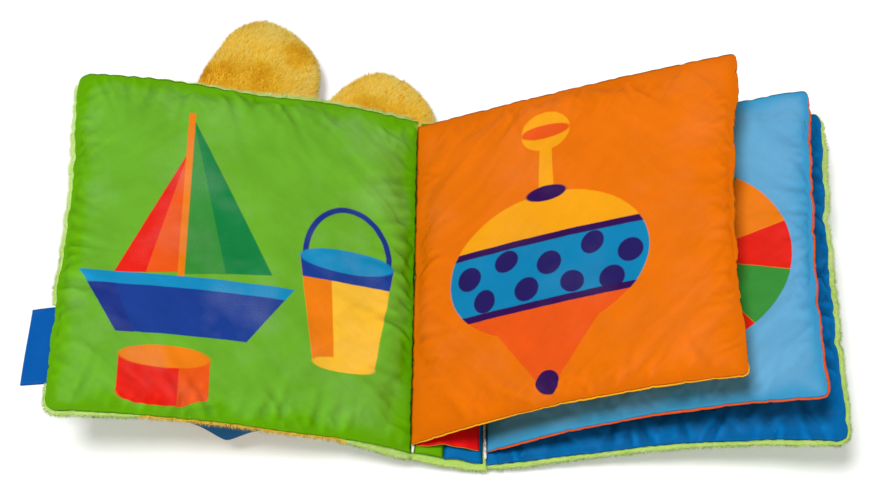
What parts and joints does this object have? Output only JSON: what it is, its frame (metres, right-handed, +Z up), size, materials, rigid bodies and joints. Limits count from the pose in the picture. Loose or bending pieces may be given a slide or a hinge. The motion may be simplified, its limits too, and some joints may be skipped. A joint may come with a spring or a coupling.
{
  "type": "soft rattle book",
  "caption": "Soft padded cloth book for a baby, lying open, with printed cloth pages that turn and a stuffed plush head with a rattle inside on the outside of its front cover.",
  "frame": {"origin": "under the middle of the open book's box, on the surface that it lies on", "axes": "+X across the open book from the front cover to the back cover, +Y from the reader's edge to the far edge, +Z up"},
  "size_m": [0.332, 0.2132, 0.0803],
  "materials": {
    "light_plush": "short soft pile",
    "wadding": "soft fibre",
    "blue_lining": "smooth satin weave",
    "green_lining": "smooth printed satin weave",
    "thread": "twisted thread",
    "red_cloth": "smooth satin weave",
    "amber_cloth": "smooth satin weave",
    "orange_print": "smooth printed satin weave",
    "sky_print": "smooth printed satin weave",
    "orange_red_cloth": "smooth satin weave",
    "gold_plush": "short soft pile",
    "cream_felt": "felted pile",
    "brown_thread": "satin stitch embroidery",
    "scarf_cloth": "plain weave",
    "tag_ribbon": "woven ribbon",
    "rattle_shell": "moulded",
    "bead": "moulded"
  },
  "bodies": {
    "back_cover": {"back_cover_plush": "light_plush", "back_cover_wadding": "wadding", "back_cover_lining": "blue_lining", "right_stitch": "thread", "leaf_2_binding": "orange_red_cloth"},
    "spine": {"spine_plush": "light_plush", "spine_wadding": "wadding", "spine_lining_green": "green_lining", "spine_lining_blue": "blue_lining", "gutter_under": "amber_cloth", "gutter_top": "red_cloth", "left_stitch": "thread"},
    "leaf_1_root": {"leaf_1_binding": "amber_cloth"},
    "leaf_1": {"leaf_1_back": "amber_cloth", "leaf_1_wadding": "wadding", "leaf_1_print": "orange_print"},
    "leaf_2": {"leaf_2_back": "orange_red_cloth", "leaf_2_wadding": "wadding", "leaf_2_print": "sky_print"},
    "front_cover": {"front_cover_plush": "light_plush", "front_cover_wadding": "wadding", "front_cover_lining": "green_lining", "head_skin": "gold_plush", "head_stuffing": "wadding", "muzzle": "cream_felt", "nose": "brown_thread", "eye_left": "brown_thread", "eye_right": "brown_thread", "rattle_case_base": "rattle_shell", "rattle_case_lid": "rattle_shell"},
    "ear_left": {"ear_left_skin": "gold_plush", "ear_left_stuffing": "wadding"},
    "ear_right": {"ear_right_skin": "gold_plush", "ear_right_stuffing": "wadding"},
    "scarf": {"scarf": "scarf_cloth"},
    "label_tag": {"label_tag": "tag_ribbon"},
    "rattle_bead_1": {"rattle_bead_1": "bead"},
    "rattle_bead_2": {"rattle_bead_2": "bead"},
    "rattle_bead_3": {"rattle_bead_3": "bead"},
    "rattle_bead_4": {"rattle_bead_4": "bead"}
  },
  "joints": [
    {"name": "spine_fold", "type": "hinge", "parent": "back_cover", "child": "spine", "pos_m": [0.01807, -0.02435, 0.0064], "axis": [0, -1, 0], "range_deg": [-50, 0]},
    {"name": "front_cover_fold", "type": "hinge", "parent": "spine", "child": "front_cover", "pos_m": [-0.01093, -0.02435, 0.012], "axis": [0, -1, 0], "range_deg": [-60, 0]},
    {"name": "leaf_1_root_fold", "type": "hinge", "parent": "spine", "child": "leaf_1_root", "pos_m": [-0.01003, -0.02435, 0.0168], "axis": [0, -1, 0], "range_deg": [0, 50]},
    {"name": "leaf_1_turn", "type": "hinge", "parent": "leaf_1_root", "child": "leaf_1", "pos_m": [-0.01003, -0.02435, 0.0168], "axis": [0, -1, 0], "range_deg": [-2, 112]},
    {"name": "leaf_2_turn", "type": "hinge", "parent": "back_cover", "child": "leaf_2", "pos_m": [0.01907, -0.02435, 0.0096], "axis": [0, -1, 0], "range_deg": [-1.8, 100.8]},
    {"name": "ear_left_bend", "type": "hinge", "parent": "front_cover", "child": "ear_left", "pos_m": [-0.08493, 0.03615, 0.0035], "axis": [1, 0, 0], "range_deg": [-35, 0], "stiffness_Nm_per_rad": 0.02},
    {"name": "ear_right_bend", "type": "hinge", "parent": "front_cover", "child": "ear_right", "pos_m": [-0.03243, 0.02665, 0.002], "axis": [1, 0, 0], "range_deg": [-35, 0], "stiffness_Nm_per_rad": 0.02},
    {"name": "scarf_swing", "type": "hinge", "parent": "front_cover", "child": "scarf", "pos_m": [-0.08643, -0.09875, 0.03], "axis": [-0.984, 0, 0.178], "range_deg": [-4, 45]},
    {"name": "tag_lift", "type": "hinge", "parent": "front_cover", "child": "label_tag", "pos_m": [-0.15373, -0.07135, 0.0447], "axis": [0, 1, 0], "range_deg": [0, 75]},
    {"name": "rattle_bead_1_jump", "type": "slide", "parent": "front_cover", "child": "rattle_bead_1", "axis": [0.1817, 0, 0.9834], "range_m": [0, 0.0042]},
    {"name": "rattle_bead_2_jump", "type": "slide", "parent": "front_cover", "child": "rattle_bead_2", "axis": [0.1817, 0, 0.9834], "range_m": [0, 0.0042]},
    {"name": "rattle_bead_3_jump", "type": "slide", "parent": "front_cover", "child": "rattle_bead_3", "axis": [0.1817, 0, 0.9834], "range_m": [0, 0.0042]},
    {"name": "rattle_bead_4_jump", "type": "slide", "parent": "front_cover", "child": "rattle_bead_4", "axis": [0.1817, 0, 0.9834], "range_m": [0, 0.0042]}
  ],
  "couplings": [
    {"joint": "leaf_1_root_fold", "follows": "spine_fold", "ratio": -1},
    {"joint": "leaf_2_turn", "follows": "leaf_1_turn", "ratio": 0.9}
  ]
}
